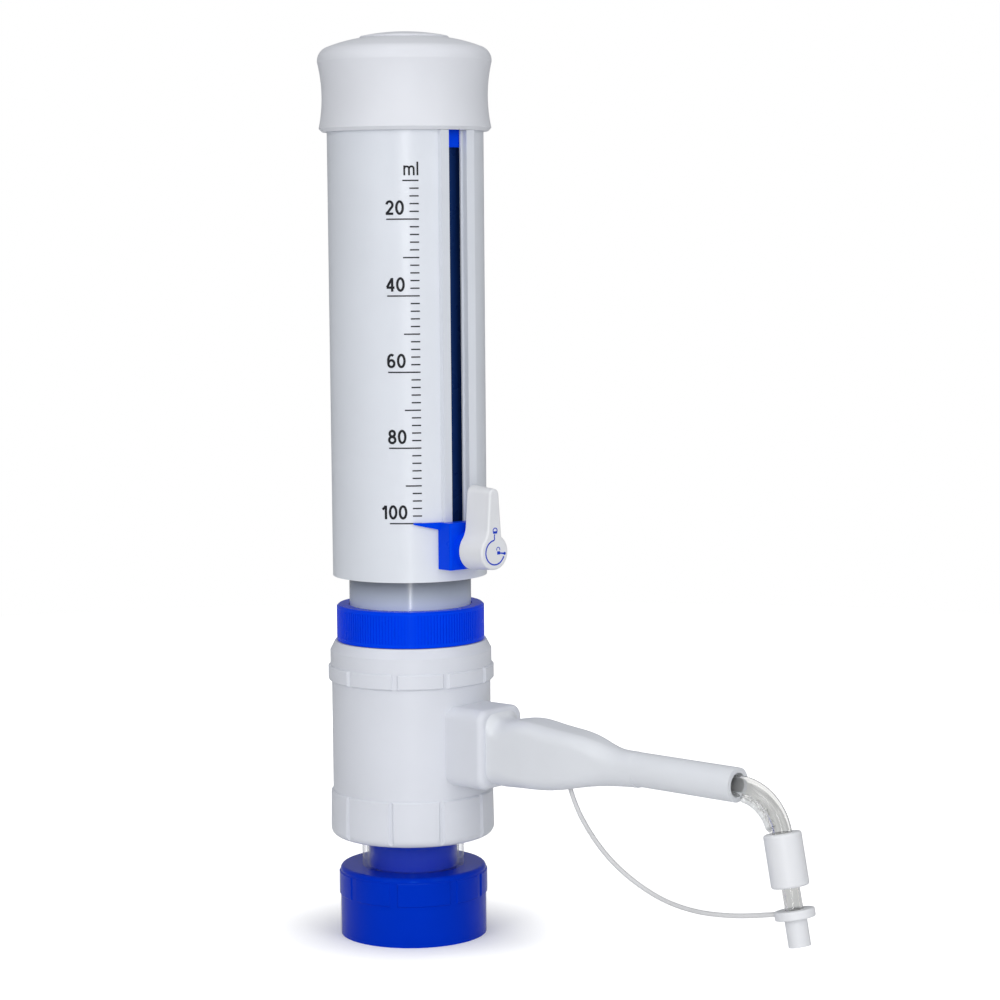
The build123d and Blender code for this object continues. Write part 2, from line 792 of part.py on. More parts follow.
# Stop ring on top of the barrel, with the hook that the slider meets
with BuildPart() as stop_ring:
    with BuildSketch(Plane.XY.offset(jacket_top)):
        Circle(stop_ring_radius)
        Circle(barrel_bore + skim, mode=Mode.SUBTRACT)
    extrude(amount=stop_ring_height)
    with BuildSketch(slot_plan(hook_low)):
        with Locations(((stop_ring_radius - 2 + hook_reach) / 2, 0)):
            Rectangle(hook_reach - stop_ring_radius + 2, hook_width)
    extrude(amount=jacket_top + stop_ring_height - hook_low)
stop_ring.part.label = "stop_ring"
export_step(stop_ring.part, "parts/stop_ring.step")

# Dark guide rail along the jacket, seen through the slot
with BuildPart() as guide_rail:
    with BuildSketch(slot_plan(rail_bottom)):
        Circle(stop_ring_radius - slip)
        Circle(jacket_radius + running, mode=Mode.SUBTRACT)
        with Locations((stop_ring_radius, 0)):
            Rectangle(jacket_radius, rail_width, mode=Mode.INTERSECT)
    extrude(amount=jacket_top - slip - rail_bottom)
guide_rail.part.label = "guide_rail"
export_step(guide_rail.part, "parts/guide_rail.step")

# Scale sleeve with its slot and the two raised tracks
track_edge = slot_half_width + track_width
with BuildPart() as scale_sleeve:
    with BuildSketch(Plane.XY.offset(sleeve_start)):
        Circle(sleeve_radius)
    extrude(amount=sleeve_length)
    with BuildSketch(slot_plan(sleeve_start + slot_start)):
        with Locations(((sleeve_bore + sleeve_radius + track_height) / 2, 0)):
            Rectangle(sleeve_wall + track_height, 2 * track_edge)
    extrude(amount=cap_bottom - slip - sleeve_start - slot_start)
    with BuildSketch(Plane.XY.offset(sleeve_start)):
        Circle(sleeve_bore)
    extrude(amount=sleeve_length, mode=Mode.SUBTRACT)
    with BuildSketch(slot_plan(sleeve_start + slot_start)):
        with Locations((sleeve_radius, 0)):
            Rectangle(sleeve_radius, 2 * slot_lip_width)
        with Locations((sleeve_bore + slot_lip_depth + sleeve_radius / 2, 0)):
            Rectangle(sleeve_radius, 2 * slot_half_width)
        with Locations((sleeve_bore + slip - track_depth / 2, 0)):
            Rectangle(track_depth, 2 * (clamp_plate_half_width + skim))
    extrude(amount=sleeve_length - slot_start, mode=Mode.SUBTRACT)
scale_sleeve.part.label = "scale_sleeve"
export_step(scale_sleeve.part, "parts/scale_sleeve.step")

# Top cap that the hand lifts and pushes
with BuildPart() as top_cap:
    with BuildSketch(Plane.XZ):
        with BuildLine():
            rim = (cap_rim_radius, cap_bottom + cap_edge)
            brow = (cap_radius, sleeve_top - 1.2)
            shoulder = (cap_shoulder_radius, sleeve_top + cap_shoulder_rise)
            band = (sleeve_radius - cap_band_inset, sleeve_top + cap_band_rise)
            crown = (cap_disc_radius + slip, cap_top)
            Polyline((0, cap_top), (0, cap_bottom), (cap_rim_radius - cap_edge, cap_bottom), rim)
            ThreePointArc(rim, (cap_waist_radius, sleeve_top - cap_waist_drop), brow)
            ThreePointArc(brow, (cap_radius - 0.9, sleeve_top + 2.1), shoulder)
            ThreePointArc(shoulder, band, crown)
            Line(crown, (0, cap_top))
        make_face()
    revolve(axis=Axis.Z)
    with BuildSketch(Plane.XY.offset(cap_bottom)):
        Circle(sleeve_radius + slip)
    extrude(amount=cap_skirt, mode=Mode.SUBTRACT)
    with BuildSketch(Plane.XY.offset(cap_top)):
        Circle(cap_disc_radius + slip)
    extrude(amount=-cap_disc_recess, mode=Mode.SUBTRACT)
    with BuildSketch(Plane.XY.offset(cap_top - cap_disc_recess)):
        Circle(screw_head_radius + slip)
    extrude(amount=-(screw_head_height + slip), mode=Mode.SUBTRACT)
    with BuildSketch(Plane.XY.offset(sleeve_top)):
        Circle(screw_radius + slip)
    extrude(amount=cap_crown, mode=Mode.SUBTRACT)
top_cap.part.label = "top_cap"
export_step(top_cap.part, "parts/top_cap.step")

# Plain disc that covers the screw in the cap
with BuildPart() as cap_disc:
    with BuildSketch(Plane.XZ):
        with BuildLine():
            disc_low = cap_top - cap_disc_recess
            disc_run = cap_disc_radius - cap_disc_edge
            dome_radius = (disc_run**2 + cap_disc_dome**2) / (2 * cap_disc_dome)
            dome_drop = dome_radius - sqrt(dome_radius**2 - disc_run**2 / 4)
            disc_rim = (disc_run, cap_top + cap_disc_rise)
            disc_peak = (0, cap_top + cap_disc_rise + cap_disc_dome)
            disc_middle = (disc_run / 2, disc_peak[1] - dome_drop)
            Polyline(
                disc_peak,
                (0, disc_low),
                (cap_disc_radius, disc_low),
                (cap_disc_radius, cap_top + cap_disc_rise - cap_disc_edge),
                disc_rim,
            )
            ThreePointArc(disc_rim, disc_middle, disc_peak)
        make_face()
    revolve(axis=Axis.Z)
cap_disc.part.label = "cap_disc"
export_step(cap_disc.part, "parts/cap_disc.step")

# Hollow piston with a closed foot and a groove for its seal
piston_radius = barrel_bore - running
piston_bottom = barrel_seat + barrel_gasket_thickness + piston_lift_off
with BuildPart() as piston:
    with BuildSketch(Plane.XY.offset(piston_bottom)):
        Circle(piston_radius)
    extrude(amount=sleeve_top - piston_bottom)
    with BuildSketch(Plane.XY.offset(piston_bottom + piston_foot)):
        Circle(piston_radius - piston_wall)
    extrude(amount=sleeve_top - piston_bottom - piston_foot, mode=Mode.SUBTRACT)
    with BuildSketch(Plane.XY.offset(piston_bottom + piston_seal_height)):
        Circle(piston_radius)
        Circle(piston_radius - piston_seal_depth, mode=Mode.SUBTRACT)
    extrude(amount=piston_seal_height, mode=Mode.SUBTRACT)
piston.part.label = "piston"
export_step(piston.part, "parts/piston.step")

# Seal ring in the piston's groove
with BuildPart() as piston_seal:
    with BuildSketch(Plane.XY.offset(piston_bottom + piston_seal_height)):
        Circle(barrel_bore - running / 3)
        Circle(piston_radius - piston_seal_depth + running, mode=Mode.SUBTRACT)
    extrude(amount=piston_seal_height)
piston_seal.part.label = "piston_seal"
export_step(piston_seal.part, "parts/piston_seal.step")

# Threaded plug in the head of the piston
with BuildPart() as piston_plug:
    with BuildSketch(Plane.XY.offset(sleeve_top - piston_plug_height)):
        Circle(piston_radius - piston_wall - running)
        Circle(screw_radius + running, mode=Mode.SUBTRACT)
    extrude(amount=piston_plug_height)
piston_plug.part.label = "piston_plug"
export_step(piston_plug.part, "parts/piston_plug.step")

# Socket-head screw that holds the piston to the cap
screw_seat = cap_top - cap_disc_recess - screw_head_height - slip
with BuildPart() as piston_screw:
    with BuildSketch(Plane.XY.offset(screw_seat)):
        Circle(screw_radius)
    extrude(amount=-screw_length)
    with BuildSketch(Plane.XY.offset(screw_seat)):
        Circle(screw_head_radius)
    extrude(amount=screw_head_height)
    with BuildSketch(Plane.XY.offset(screw_seat + screw_head_height)):
        RegularPolygon(screw_radius, 6)
    extrude(amount=-screw_head_height / 2, mode=Mode.SUBTRACT)
piston_screw.part.label = "piston_screw"
export_step(piston_screw.part, "parts/piston_screw.step")

# Pointer that reaches from the slider round to the scale
root_azimuth = slot_azimuth - degrees(asin(slider_half_width / sleeve_radius))
hidden_azimuth = slot_azimuth - degrees(asin((slot_half_width + track_width + skim) / sleeve_radius))
with BuildPart() as pointer:
    with BuildSketch(Plane.XY.offset(slider_top - pointer_height)):
        with BuildLine():
            inner = sleeve_radius + slider_gap
            outer = inner + pointer_thickness
            spread = hidden_azimuth - pointer_tip_azimuth
            CenterArc((0, 0), inner, pointer_tip_azimuth, spread)
            CenterArc((0, 0), outer, pointer_tip_azimuth, spread)
            for azimuth in (pointer_tip_azimuth, hidden_azimuth):
                side = Vector(cos(radians(azimuth)), sin(radians(azimuth)))
                Line(side * inner, side * outer)
        make_face()
    extrude(amount=pointer_height)
    pointer_mid = radians((pointer_tip_azimuth + root_azimuth) / 2)
    pointer_half = outer * sin(radians(root_azimuth - pointer_tip_azimuth) / 2)
    pointer_face = Plane(
        origin=(0, 0, slider_top - pointer_height),
        x_dir=(-sin(pointer_mid), cos(pointer_mid), 0),
        z_dir=(cos(pointer_mid), sin(pointer_mid), 0),
    )
    with BuildSketch(pointer_face):
        with BuildLine():
            Polyline(
                (-pointer_half - 1, -1),
                (-pointer_half - 1, pointer_height - pointer_tip_height),
                (-pointer_half, pointer_height - pointer_tip_height),
                (pointer_half, 0),
                (pointer_half, -1),
                close=True,
            )
        make_face()
    extrude(amount=2 * sleeve_radius, mode=Mode.SUBTRACT)

# Volume slider: a saddle over the tracks with a tongue through the slot
plate_outer = sleeve_bore + slip - slider_gap
with BuildPart() as volume_slider:
    with BuildSketch(slot_plan(slider_bottom)):
        with Locations(((sleeve_bore + slider_reach) / 2, 0)):
            Rectangle(slider_reach - sleeve_bore, 2 * slider_half_width)
        Circle(sleeve_radius + slider_gap, mode=Mode.SUBTRACT)
        with Locations(((sleeve_radius + track_height + slider_gap) / 2, 0)):
            Rectangle(
                sleeve_radius + track_height + slider_gap,
                2 * (track_edge + slider_gap),
                mode=Mode.SUBTRACT,
            )
    extrude(amount=slider_height)
    with BuildSketch(slot_plan(slider_bottom)):
        with Locations(((plate_outer + slider_reach) / 2, 0)):
            Rectangle(slider_reach - plate_outer, 2 * (slot_lip_width - tongue_gap))
    extrude(amount=slider_height - tongue_drop)
    outer_corners = volume_slider.edges().filter_by(Axis.Z)
    fillet(outer_corners.sort_by_distance((0, 0, slider_bottom + slider_height / 2))[-2:], slider_edge)
    with BuildSketch(slot_face(slider_reach, lever_z)):
        Circle(slider_boss_radius)
    extrude(amount=slider_boss_height)
    with BuildSketch(slot_face(0, lever_z)):
        Circle(clamp_screw_radius + running)
    extrude(amount=slider_reach + slider_boss_height + 1, mode=Mode.SUBTRACT)
    add(pointer.part)
volume_slider.part.label = "volume_slider"
export_step(volume_slider.part, "parts/volume_slider.step")

# Clamp plate behind the slot
with BuildPart() as clamp_plate:
    with BuildSketch(slot_plan(slider_bottom)):
        with Locations((plate_outer - clamp_plate_thickness / 2, 0)):
            Rectangle(clamp_plate_thickness, 2 * clamp_plate_half_width)
    extrude(amount=slider_height - tongue_drop)
    with BuildSketch(slot_face(0, lever_z)):
        Circle(clamp_screw_radius + running)
    extrude(amount=sleeve_radius, mode=Mode.SUBTRACT)
clamp_plate.part.label = "clamp_plate"
export_step(clamp_plate.part, "parts/clamp_plate.step")

# Clamp screw that the lever turns on
lever_back = slider_reach + slider_boss_height + skim
lever_bore_end = lever_back + lever_thickness - 2
with BuildPart() as clamp_screw:
    with BuildSketch(slot_face(plate_outer - clamp_plate_thickness, lever_z)):
        Circle(clamp_screw_radius)
    extrude(amount=lever_bore_end - slip - plate_outer + clamp_plate_thickness)
clamp_screw.part.label = "clamp_screw"
export_step(clamp_screw.part, "parts/clamp_screw.step")

# Clamp lever: a round hub that narrows to a blunt tip
with BuildPart() as clamp_lever:
    tip_height = lever_length - lever_tip_radius
    lever_front = slot_face(lever_back + lever_thickness, lever_z).origin
    with BuildSketch(slot_face(lever_back, lever_z)) as lever_outline:
        Circle(lever_neck_radius)
        with Locations((0, tip_height)):
            Circle(lever_tip_radius)
        make_hull()
        Circle(lever_hub_radius)
        fillet(lever_outline.vertices().group_by(Axis.Y)[1], lever_blend)
    extrude(amount=lever_thickness, taper=lever_draft)
    fillet(clamp_lever.faces().sort_by_distance(lever_front)[0].edges(), lever_edge)
    with BuildSketch(slot_face(lever_back, lever_z)):
        Circle(clamp_screw_radius + running)
    extrude(amount=lever_bore_end - lever_back, mode=Mode.SUBTRACT)
clamp_lever.part.label = "clamp_lever"
export_step(clamp_lever.part, "parts/clamp_lever.step")

print("levels: housing", round(housing_bottom, 2), round(housing_top, 2))
print("levels: ring", round(ring_bottom, 2), round(ring_top, 2), "union", round(union_top, 2))
print("levels: jacket top", round(jacket_top, 2), "hook", round(hook_low, 2), "cap", round(cap_top, 2))
print("tip bottom", [round(value, 2) for value in tip_point(cap_start + cap_length)])
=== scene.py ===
from math import ceil, cos, pi, radians, sin

import bmesh
import bpy
from mathutils import Matrix, Vector


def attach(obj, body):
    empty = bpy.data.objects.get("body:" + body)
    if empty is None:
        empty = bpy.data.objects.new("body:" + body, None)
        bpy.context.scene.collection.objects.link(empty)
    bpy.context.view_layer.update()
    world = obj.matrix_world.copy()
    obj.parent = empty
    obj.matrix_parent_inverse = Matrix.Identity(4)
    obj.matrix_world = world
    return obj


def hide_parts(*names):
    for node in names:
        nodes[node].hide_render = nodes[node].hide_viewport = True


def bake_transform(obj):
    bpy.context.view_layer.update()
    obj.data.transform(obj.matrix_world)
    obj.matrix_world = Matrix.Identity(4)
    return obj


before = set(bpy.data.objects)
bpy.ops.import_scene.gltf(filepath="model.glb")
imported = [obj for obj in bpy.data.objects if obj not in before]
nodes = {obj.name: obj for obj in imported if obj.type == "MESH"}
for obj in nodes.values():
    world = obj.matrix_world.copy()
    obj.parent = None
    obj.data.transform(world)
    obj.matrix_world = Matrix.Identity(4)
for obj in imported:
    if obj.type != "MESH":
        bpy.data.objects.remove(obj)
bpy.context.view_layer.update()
mm = 0.001

# Camera
camera_azimuth = radians(-48)
camera_distance = 1.0322
camera_height = 0.26225
pitch, yaw, roll = radians(6.862), radians(1.827), radians(-0.431)

ahead = Vector((-cos(camera_azimuth), -sin(camera_azimuth), 0))
side = Vector((-sin(camera_azimuth), cos(camera_azimuth), 0))
level_ahead = ahead * cos(yaw) + side * sin(yaw)
right = side * cos(yaw) - ahead * sin(yaw)
forward = level_ahead * cos(pitch) - Vector((0, 0, 1)) * sin(pitch)
up = right.cross(forward)
facing = Matrix((right, up, -forward)).transposed()
camera_data = bpy.data.cameras.new("camera")
camera_data.lens = 102.34
camera_data.shift_y = 0.06
camera = bpy.data.objects.new("camera", camera_data)
camera.matrix_world = Matrix.Translation(-ahead * camera_distance + Vector((0, 0, camera_height))) @ (
    facing @ Matrix.Rotation(roll, 3, "Z")
).to_4x4()
bpy.context.collection.objects.link(camera)
bpy.context.scene.camera = camera


# Materials
def new_material(name):
    material = bpy.data.materials.new(name)
    material.use_nodes = True
    shader = material.node_tree.nodes["Principled BSDF"]
    return material, material.node_tree, shader


def surface_noise(tree, scale, detail=3.0, stretch=(1, 1, 1)):
    """Noise over the object's own coordinates, in waves per metre."""
    place = tree.nodes.new("ShaderNodeTexCoord")
    mapping = tree.nodes.new("ShaderNodeMapping")
    mapping.inputs["Scale"].default_value = stretch
    noise = tree.nodes.new("ShaderNodeTexNoise")
    noise.inputs["Scale"].default_value = scale
    noise.inputs["Detail"].default_value = detail
    tree.links.new(place.outputs["Object"], mapping.inputs["Vector"])
    tree.links.new(mapping.outputs["Vector"], noise.inputs["Vector"])
    return noise.outputs["Fac"]


def colour_between(tree, factor, low, high):
    ramp = tree.nodes.new("ShaderNodeValToRGB")
    ramp.color_ramp.elements[0].position = 0.35
    ramp.color_ramp.elements[0].color = (*low, 1)
    ramp.color_ramp.elements[1].position = 0.65
    ramp.color_ramp.elements[1].color = (*high, 1)
    tree.links.new(factor, ramp.inputs["Fac"])
    return ramp.outputs["Color"]


def value_between(tree, factor, low, high):
    spread = tree.nodes.new("ShaderNodeMapRange")
    spread.inputs["From Min"].default_value = 0.3
    spread.inputs["From Max"].default_value = 0.7
    spread.inputs["To Min"].default_value = low
    spread.inputs["To Max"].default_value = high
    tree.links.new(factor, spread.inputs["Value"])
    return spread.outputs["Result"]


def bumped(tree, shader, height, strength, distance):
    bump = tree.nodes.new("ShaderNodeBump")
    bump.inputs["Strength"].default_value = strength
    bump.inputs["Distance"].default_value = distance
    tree.links.new(height, bump.inputs["Height"])
    tree.links.new(bump.outputs["Normal"], shader.inputs["Normal"])


def moulded(
    name, colour, rough=(0.34, 0.4), shade=0.975, grain=700, strength=0.05, shine=0.4, tint=(1, 1, 1)
):
    """Moulded plastic: faint flow clouds in its colour, fine grain and an uneven gloss."""
    material, tree, shader = new_material(name)
    darker = tuple(channel * shade for channel in colour)
    clouds = colour_between(tree, surface_noise(tree, 45), darker, colour)
    tree.links.new(clouds, shader.inputs["Base Color"])
    tree.links.new(value_between(tree, surface_noise(tree, 160), *rough), shader.inputs["Roughness"])
    bumped(tree, shader, surface_noise(tree, grain, 2), strength, 0.03 * mm)
    shader.inputs["IOR"].default_value = 1.5
    shader.inputs["Specular IOR Level"].default_value = shine
    shader.inputs["Specular Tint"].default_value = (*tint, 1)
    return material


def clear(name, tint, rough=(0.03, 0.09), ior=1.45, transmission=1.0, grain=300, strength=0.05):
    """Clear plastic or glass with a slightly wavy skin."""
    material, tree, shader = new_material(name)
    darker = tuple(channel * 0.98 for channel in tint)
    tree.links.new(colour_between(tree, surface_noise(tree, 60), darker, tint), shader.inputs["Base Color"])
    tree.links.new(value_between(tree, surface_noise(tree, 200), *rough), shader.inputs["Roughness"])
    bumped(tree, shader, surface_noise(tree, grain, 2), strength, 0.06 * mm)
    shader.inputs["IOR"].default_value = ior
    shader.inputs["Transmission Weight"].default_value = transmission
    return material


def darker_upwards(material, low, high, share):
    """Shade a material towards a height in metres, as under the edge of the piece above it."""
    tree = material.node_tree
    shader = tree.nodes["Principled BSDF"]
    colour = shader.inputs["Base Color"].links[0].from_socket
    place = tree.nodes.new("ShaderNodeTexCoord")
    parts = tree.nodes.new("ShaderNodeSeparateXYZ")
    shade = tree.nodes.new("ShaderNodeMapRange")
    shade.inputs["From Min"].default_value = low
    shade.inputs["From Max"].default_value = high
    shade.inputs["To Min"].default_value = 1.0
    shade.inputs["To Max"].default_value = share
    scaled = tree.nodes.new("ShaderNodeVectorMath")
    scaled.operation = "SCALE"
    tree.links.new(place.outputs["Object"], parts.inputs["Vector"])
    tree.links.new(parts.outputs["Z"], shade.inputs["Value"])
    tree.links.new(colour, scaled.inputs[0])
    tree.links.new(shade.outputs["Result"], scaled.inputs["Scale"])
    tree.links.new(scaled.outputs["Vector"], shader.inputs["Base Color"])


def fine_clear(name, tint, middle, edge):
    """Thin clear plastic that shows mostly where it turns away from the eye."""
    material = clear(name, tint, rough=(0.02, 0.05), ior=1.5, transmission=0.0)
    tree = material.node_tree
    facing = tree.nodes.new("ShaderNodeLayerWeight")
    facing.inputs["Blend"].default_value = 0.3
    tree.links.new(
        value_between(tree, facing.outputs["Facing"], middle, edge),
        tree.nodes["Principled BSDF"].inputs["Alpha"],
    )
    return material


def printed(name, colour):
    """Screen-printed ink with a slightly uneven gloss."""
    material, tree, shader = new_material(name)
    darker = tuple(channel * 0.8 for channel in colour)
    speckle = colour_between(tree, surface_noise(tree, 2500), darker, colour)
    tree.links.new(speckle, shader.inputs["Base Color"])
    tree.links.new(value_between(tree, surface_noise(tree, 700), 0.4, 0.5), shader.inputs["Roughness"])
    shader.inputs["Specular IOR Level"].default_value = 0.2
    return material


def steel(name):
    material, tree, shader = new_material(name)
    grain = surface_noise(tree, 900, 4, (1, 1, 0.05))
    brushed = colour_between(tree, grain, (0.5, 0.5, 0.5), (0.62, 0.62, 0.61))
    tree.links.new(brushed, shader.inputs["Base Color"])
    tree.links.new(value_between(tree, grain, 0.25, 0.4), shader.inputs["Roughness"])
    shader.inputs["Metallic"].default_value = 1.0
    return material


shell = moulded("white_shell", (0.71, 0.73, 0.79))
sleeve_white = moulded("white_sleeve", (0.73, 0.76, 0.82), rough=(0.28, 0.34), grain=400, strength=0.03)
cap_white = moulded("white_cap", (0.75, 0.765, 0.815), rough=(0.4, 0.48), strength=0.08)
arm_white = moulded("white_arm", (0.74, 0.76, 0.8), rough=(0.36, 0.44))
lever_white = moulded("white_lever", (0.77, 0.78, 0.81), rough=(0.3, 0.38))
collar_white = moulded("white_collar", (0.77, 0.78, 0.81), rough=(0.36, 0.44))
blue_gloss = (0.08, 0.4, 1)
ring_blue = moulded("blue_ring", (0, 0.052, 0.86), (0.22, 0.28), 0.95, shine=0.08, tint=blue_gloss)
slider_blue = moulded("blue_slider", (0, 0.055, 0.82), (0.26, 0.34), 0.95, shine=0.12, tint=blue_gloss)
nut_blue = moulded("blue_nut", (0, 0.028, 0.52), (0.14, 0.2), 0.94, shine=0.16, tint=blue_gloss)
# The guide rail is a blue part; its dark navy colour is painted shade, for the shade it sits in down the
# sleeve's slot.
rail_painted_shade = moulded("navy_rail", (0.005, 0.02, 0.1), (0.25, 0.35), 0.85, shine=0.3, tint=blue_gloss)
slip_white = moulded("slip_white", (0.8, 0.8, 0.79), rough=(0.5, 0.6))
seal_white = moulded("seal_white", (0.75, 0.75, 0.73), rough=(0.6, 0.7), grain=2000)
piston_white = moulded("piston_white", (0.6, 0.61, 0.62), rough=(0.15, 0.25), grain=250)
tether_white = moulded("tether_white", (0.72, 0.72, 0.73), rough=(0.3, 0.42), shade=0.92)
# Painted highlight: this white stands for the glints on the wrinkles inside the tube's bend.
wrinkle_highlight = moulded("wrinkle_highlight", (0.78, 0.79, 0.8), rough=(0.25, 0.35))
jacket_clear = clear("jacket_clear", (0.74, 0.82, 0.98), rough=(0.14, 0.22), transmission=0.2)
darker_upwards(jacket_clear, 0.1215, 0.1315, 0.4)
barrel_glass = clear("barrel_glass", (0.93, 0.95, 0.96), rough=(0.01, 0.04), ior=1.47)
neck_clear = fine_clear("neck_clear", (0.62, 0.64, 0.7), 0.02, 0.5)
tube_clear = clear("tube_clear", (0.97, 0.97, 0.96), rough=(0.02, 0.06), ior=1.36, grain=500, strength=0.1)
ball_glass = clear("ball_glass", (0.85, 0.9, 0.92), rough=(0.05, 0.1), ior=1.5)
screw_steel = steel("screw_steel")
ink_black = printed("ink_black", (0.012, 0.013, 0.018))
ink_blue = printed("ink_blue", (0.005, 0.05, 0.6))

node_materials = {
    "bottle_nut": nut_blue,
    "bottle_gasket": seal_white,
    "neck_sleeve": neck_clear,
    "swivel_washer": slip_white,
    "housing": shell,
    "housing_ring": shell,
    "union_ring": ring_blue,
    "valve_block": slip_white,
    "snap_ring": slip_white,
    "suction_valve_body": slip_white,
    "suction_ball": ball_glass,
    "discharge_valve_body": slip_white,
    "discharge_seat": slip_white,
    "discharge_ball": ball_glass,
    "barrel_gasket": seal_white,
    "glass_barrel": barrel_glass,
    "barrel_jacket": jacket_clear,
    "stop_ring": slider_blue,
    "guide_rail": rail_painted_shade,
    "scale_sleeve": sleeve_white,
    "top_cap": cap_white,
    "cap_disc": cap_white,
    "piston": piston_white,
    "piston_seal": seal_white,
    "piston_plug": slip_white,
    "piston_screw": screw_steel,
    "volume_slider": slider_blue,
    "clamp_plate": screw_steel,
    "clamp_screw": screw_steel,
    "clamp_lever": lever_white,
    "discharge_arm": arm_white,
    "discharge_tube": tube_clear,
    "tip_tube": tube_clear,
    "tip_collar": collar_white,
    "nozzle_cap": collar_white,
    "cap_tether": tether_white,
}
for name, material in node_materials.items():
    for material_slot in nodes[name].material_slots:
        material_slot.material = material

soft_edges = {
    "bottle_nut": 0.25,
    "housing": 0.35,
    "housing_ring": 0.3,
    "scale_sleeve": 0.2,
    "volume_slider": 0.3,
    "stop_ring": 0.2,
    "top_cap": 0.3,
    "discharge_arm": 0.25,
}
for name, width in soft_edges.items():
    bevel = nodes[name].modifiers.new("soft_edges", "BEVEL")
    bevel.width = width * mm
    bevel.segments = 2
    bevel.limit_method = "ANGLE"
    bevel.angle_limit = radians(34)
    bevel.harden_normals = False


def add_piece(name, mesh, material, body=None):
    piece = bpy.data.objects.new(name, mesh)
    bpy.context.collection.objects.link(piece)
    mesh.materials.clear()
    mesh.materials.append(material)
    if body:
        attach(piece, body)
    return piece


def finished_mesh(name, build, smooth=False):
    bmesh.ops.recalc_face_normals(build, faces=build.faces)
    mesh = bpy.data.meshes.new(name)
    build.to_mesh(mesh)
    build.free()
    for polygon in mesh.polygons:
        polygon.use_smooth = smooth
    return mesh


def loft_rings(build, rings, close_ends=True):
    """Skin between closed loops of points."""
    loops = [[build.verts.new(point) for point in ring] for ring in rings]
    count = len(loops[0])
    for before, after in zip(loops, loops[1:]):
        for index in range(count):
            following = (index + 1) % count
            build.faces.new((before[index], after[index], after[following], before[following]))
    if close_ends:
        build.faces.new(loops[0])
        build.faces.new(list(reversed(loops[-1])))


# Cap tether
tether_points = (
    (0.0743, 0, 0.0637),
    (0.0767, 0, 0.0572),
    (0.0830, 0, 0.0483),
    (0.0915, 0, 0.0401),
    (0.1023, 0, 0.0335),
    (0.1153, 0, 0.0285),
    (0.1293, 0, 0.0266),
    (0.1437, 0, 0.0275),
    (0.1549, 0, 0.0294),
    (0.1628, 0, 0.0311),
)
route_data = bpy.data.curves.new("tether_route", "CURVE")
route_data.dimensions = "3D"
route_data.resolution_u = 12
spline = route_data.splines.new("NURBS")
spline.points.add(len(tether_points) - 1)
for control, place in zip(spline.points, tether_points):
    control.co = (*place, 1)
spline.order_u = 3
spline.use_endpoint_u = True
route = bpy.data.objects.new("tether_route", route_data)
bpy.context.collection.objects.link(route)
tether_line = bpy.data.meshes.new_from_object(route)
route_data.bevel_depth = 0.85 * mm
route_data.bevel_resolution = 5
route_data.use_fill_caps = True
tether_mesh = bpy.data.meshes.new_from_object(route)
bpy.data.objects.remove(route)
bpy.data.meshes.remove(tether_line)
for polygon in tether_mesh.polygons:
    polygon.use_smooth = True
tether = add_piece("tether", tether_mesh, tether_white)
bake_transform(tether)
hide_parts("cap_tether")

# Printed scale
sleeve_radius = 28.14
ink_rise = 0.08
scale_right = -38.84
tick_left = {"minor": -45.45, "medium": -50.44, "major": -62.27}
tick_thickness = 0.45
first_mark, mark_step = 275.5, 1.342
digit_width, digit_height, digit_space = 3.05, 4.95, 0.5
digit_thickness = 0.84
digit_base = 1.55
layer_rise = 0.006
digit_right = -49.5


def around(rho, azimuth, height):
    """Point in metres from a distance to the barrel's axis, an azimuth in degrees and a height in mm."""
    return Vector((rho * cos(radians(azimuth)), rho * sin(radians(azimuth)), height)) * mm


def stroke_sides(points, thickness, closed):
    """Left and right edge of a line of even thickness through points in a plane."""
    sides = []
    count = len(points)
    for index, point in enumerate(points):
        if closed:
            before, after = points[index - 1], points[(index + 1) % count]
        else:
            before, after = points[max(index - 1, 0)], points[min(index + 1, count - 1)]
        arrive = (point - before).normalized() if before != point else (after - point).normalized()
        leave = (after - point).normalized() if after != point else arrive
        across = Vector((-(arrive + leave).y, (arrive + leave).x)).normalized()
        reach = thickness / 2 / max(across.dot(Vector((-arrive.y, arrive.x))), 0.5)
        sides.append((point + across * reach, point - across * reach))
    return sides


def ink_stroke(build, points, thickness, wrap, closed=False, rise=ink_rise):
    """Flat slab of ink along a line, laid on a surface by a function of two plane coordinates."""
    rims = []
    for left, right_side in stroke_sides([Vector(point) for point in points], thickness, closed):
        rims.append([
            wrap(left.x, left.y, rise),
            wrap(right_side.x, right_side.y, rise),
            wrap(right_side.x, right_side.y, -0.02),
            wrap(left.x, left.y, -0.02),
        ])
    if closed:
        rims.append(rims[0])
    loft_rings(build, rims, close_ends=not closed)
    if closed:
        bmesh.ops.remove_doubles(build, verts=build.verts, dist=1e-8)


def arc_points(centre, width, height, start, end, steps=14):
    """Points on an ellipse between two angles in degrees."""
    points = []
    for index in range(steps + 1):
        turn = radians(start + (end - start) * index / steps)
        points.append((centre[0] + width * cos(turn), centre[1] + height * sin(turn)))
    return points


